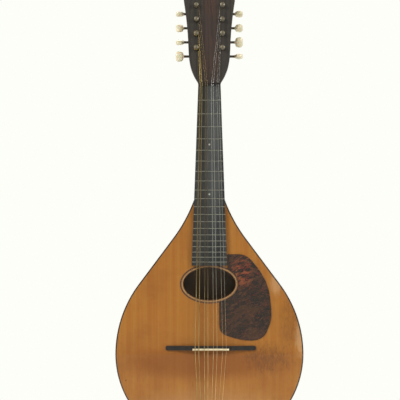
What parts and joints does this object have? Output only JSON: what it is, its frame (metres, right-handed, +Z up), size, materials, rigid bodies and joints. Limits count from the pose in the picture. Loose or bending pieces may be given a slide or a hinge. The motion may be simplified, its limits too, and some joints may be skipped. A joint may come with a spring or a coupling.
{
  "type": "mandolin",
  "caption": "Teardrop flat-back mandolin with a bent top, oval sound hole, pickguard, floating bridge, slide-on tailpiece cover and geared side tuners.",
  "frame": {"origin": "centre line, in the plane of the soundboard, at the fingerboard-side face of the nut, where the neck hangs in a yoke", "axes": "+Z up the neck to the head, -Y the way the soundboard faces, +X the treble side"},
  "size_m": [0.2418, 0.0707, 0.6053],
  "materials": {
    "spruce_top": "aged amber spruce with fine straight grain under worn lacquer",
    "back_wood": "dark red-brown stained hardwood, lacquered",
    "plain_inner_wood": "bare softwood, unfinished",
    "inlay_lines": "light and dark inlaid lines, scraped flush",
    "dark_binding": "dark brown plastic strip, polished",
    "tortoise_sheet": "mottled red-brown sheet, polished",
    "ebony": "black hardwood, hand-rubbed",
    "bone": "aged bone, polished",
    "neck_wood": "dark stained hardwood, satin",
    "head_veneer": "dark brown veneer, lacquered",
    "fret_metal": "nickel silver, crowned and polished",
    "pearl": "pearl shell, polished",
    "nickel_plate": "tarnished nickel plate",
    "dark_steel": "darkened steel, oiled",
    "gear_brass": "dull machined brass",
    "string_steel": "plain and wound music wire",
    "ivory_plastic": "cream ivory-like plastic, polished"
  },
  "bodies": {
    "instrument": {"soundboard": "spruce_top", "back_plate": "back_wood", "side_bass": "back_wood", "side_treble": "back_wood", "neck_block": "plain_inner_wood", "tail_block": "plain_inner_wood", "linings": "plain_inner_wood", "soundboard_braces": "plain_inner_wood", "back_braces": "plain_inner_wood", "rosette": "inlay_lines", "top_binding": "dark_binding", "back_binding": "dark_binding", "pickguard": "tortoise_sheet", "bridge_base": "ebony", "bridge_saddle": "bone", "neck": "neck_wood", "headstock_veneer": "head_veneer", "heel_cap": "head_veneer", "fingerboard": "ebony", "frets": "fret_metal", "position_dots": "pearl", "nut": "ebony", "tailpiece_base": "nickel_plate", "end_pin": "ebony", "strings": "string_steel", "tuner_plates": "nickel_plate", "wood_screws": "nickel_plate"},
    "cover": {"tailpiece_cover": "nickel_plate"},
    "bass_1_knob": {"bass_1_button": "ivory_plastic", "bass_1_worm_shaft": "dark_steel"},
    "bass_1_spindle": {"bass_1_gear": "gear_brass", "bass_1_post": "nickel_plate"},
    "bass_2_knob": {"bass_2_button": "ivory_plastic", "bass_2_worm_shaft": "dark_steel"},
    "bass_2_spindle": {"bass_2_gear": "gear_brass", "bass_2_post": "nickel_plate"},
    "bass_3_knob": {"bass_3_button": "ivory_plastic", "bass_3_worm_shaft": "dark_steel"},
    "bass_3_spindle": {"bass_3_gear": "gear_brass", "bass_3_post": "nickel_plate"},
    "bass_4_knob": {"bass_4_button": "ivory_plastic", "bass_4_worm_shaft": "dark_steel"},
    "bass_4_spindle": {"bass_4_gear": "gear_brass", "bass_4_post": "nickel_plate"},
    "treble_1_knob": {"treble_1_button": "ivory_plastic", "treble_1_worm_shaft": "dark_steel"},
    "treble_1_spindle": {"treble_1_gear": "gear_brass", "treble_1_post": "nickel_plate"},
    "treble_2_knob": {"treble_2_button": "ivory_plastic", "treble_2_worm_shaft": "dark_steel"},
    "treble_2_spindle": {"treble_2_gear": "gear_brass", "treble_2_post": "nickel_plate"},
    "treble_3_knob": {"treble_3_button": "ivory_plastic", "treble_3_worm_shaft": "dark_steel"},
    "treble_3_spindle": {"treble_3_gear": "gear_brass", "treble_3_post": "nickel_plate"},
    "treble_4_knob": {"treble_4_button": "ivory_plastic", "treble_4_worm_shaft": "dark_steel"},
    "treble_4_spindle": {"treble_4_gear": "gear_brass", "treble_4_post": "nickel_plate"}
  },
  "joints": [
    {"name": "cover_slide", "type": "slide", "parent": "instrument", "child": "cover", "axis": [0, 0.1132, -0.9936], "range_m": [0, 0.036]},
    {"name": "bass_1_knob_turn", "type": "hinge", "parent": "instrument", "child": "bass_1_knob", "pos_m": [-0.0168, 0.02174, 0.03897], "axis": [1, 0, 0], "continuous": true},
    {"name": "bass_1_post_turn", "type": "hinge", "parent": "instrument", "child": "bass_1_spindle", "pos_m": [-0.0168, 0.02278, 0.04633], "axis": [0, -0.9903, 0.1392], "continuous": true},
    {"name": "bass_2_knob_turn", "type": "hinge", "parent": "instrument", "child": "bass_2_knob", "pos_m": [-0.0168, 0.02434, 0.05743], "axis": [1, 0, 0], "continuous": true},
    {"name": "bass_2_post_turn", "type": "hinge", "parent": "instrument", "child": "bass_2_spindle", "pos_m": [-0.0168, 0.02537, 0.0648], "axis": [0, -0.9903, 0.1392], "continuous": true},
    {"name": "bass_3_knob_turn", "type": "hinge", "parent": "instrument", "child": "bass_3_knob", "pos_m": [-0.0168, 0.02693, 0.0759], "axis": [1, 0, 0], "continuous": true},
    {"name": "bass_3_post_turn", "type": "hinge", "parent": "instrument", "child": "bass_3_spindle", "pos_m": [-0.0168, 0.02797, 0.08327], "axis": [0, -0.9903, 0.1392], "continuous": true},
    {"name": "bass_4_knob_turn", "type": "hinge", "parent": "instrument", "child": "bass_4_knob", "pos_m": [-0.0168, 0.02953, 0.09437], "axis": [1, 0, 0], "continuous": true},
    {"name": "bass_4_post_turn", "type": "hinge", "parent": "instrument", "child": "bass_4_spindle", "pos_m": [-0.0168, 0.03056, 0.10174], "axis": [0, -0.9903, 0.1392], "continuous": true},
    {"name": "treble_1_knob_turn", "type": "hinge", "parent": "instrument", "child": "treble_1_knob", "pos_m": [0.0168, 0.02174, 0.03897], "axis": [1, 0, 0], "continuous": true},
    {"name": "treble_1_post_turn", "type": "hinge", "parent": "instrument", "child": "treble_1_spindle", "pos_m": [0.0168, 0.02278, 0.04633], "axis": [0, -0.9903, 0.1392], "continuous": true},
    {"name": "treble_2_knob_turn", "type": "hinge", "parent": "instrument", "child": "treble_2_knob", "pos_m": [0.0168, 0.02434, 0.05743], "axis": [1, 0, 0], "continuous": true},
    {"name": "treble_2_post_turn", "type": "hinge", "parent": "instrument", "child": "treble_2_spindle", "pos_m": [0.0168, 0.02537, 0.0648], "axis": [0, -0.9903, 0.1392], "continuous": true},
    {"name": "treble_3_knob_turn", "type": "hinge", "parent": "instrument", "child": "treble_3_knob", "pos_m": [0.0168, 0.02693, 0.0759], "axis": [1, 0, 0], "continuous": true},
    {"name": "treble_3_post_turn", "type": "hinge", "parent": "instrument", "child": "treble_3_spindle", "pos_m": [0.0168, 0.02797, 0.08327], "axis": [0, -0.9903, 0.1392], "continuous": true},
    {"name": "treble_4_knob_turn", "type": "hinge", "parent": "instrument", "child": "treble_4_knob", "pos_m": [0.0168, 0.02953, 0.09437], "axis": [1, 0, 0], "continuous": true},
    {"name": "treble_4_post_turn", "type": "hinge", "parent": "instrument", "child": "treble_4_spindle", "pos_m": [0.0168, 0.03056, 0.10174], "axis": [0, -0.9903, 0.1392], "continuous": true}
  ],
  "couplings": [
    {"joint": "bass_1_post_turn", "follows": "bass_1_knob_turn", "ratio": -0.071429},
    {"joint": "bass_2_post_turn", "follows": "bass_2_knob_turn", "ratio": -0.071429},
    {"joint": "bass_3_post_turn", "follows": "bass_3_knob_turn", "ratio": -0.071429},
    {"joint": "bass_4_post_turn", "follows": "bass_4_knob_turn", "ratio": -0.071429},
    {"joint": "treble_1_post_turn", "follows": "treble_1_knob_turn", "ratio": -0.071429},
    {"joint": "treble_2_post_turn", "follows": "treble_2_knob_turn", "ratio": -0.071429},
    {"joint": "treble_3_post_turn", "follows": "treble_3_knob_turn", "ratio": -0.071429},
    {"joint": "treble_4_post_turn", "follows": "treble_4_knob_turn", "ratio": -0.071429}
  ]
}
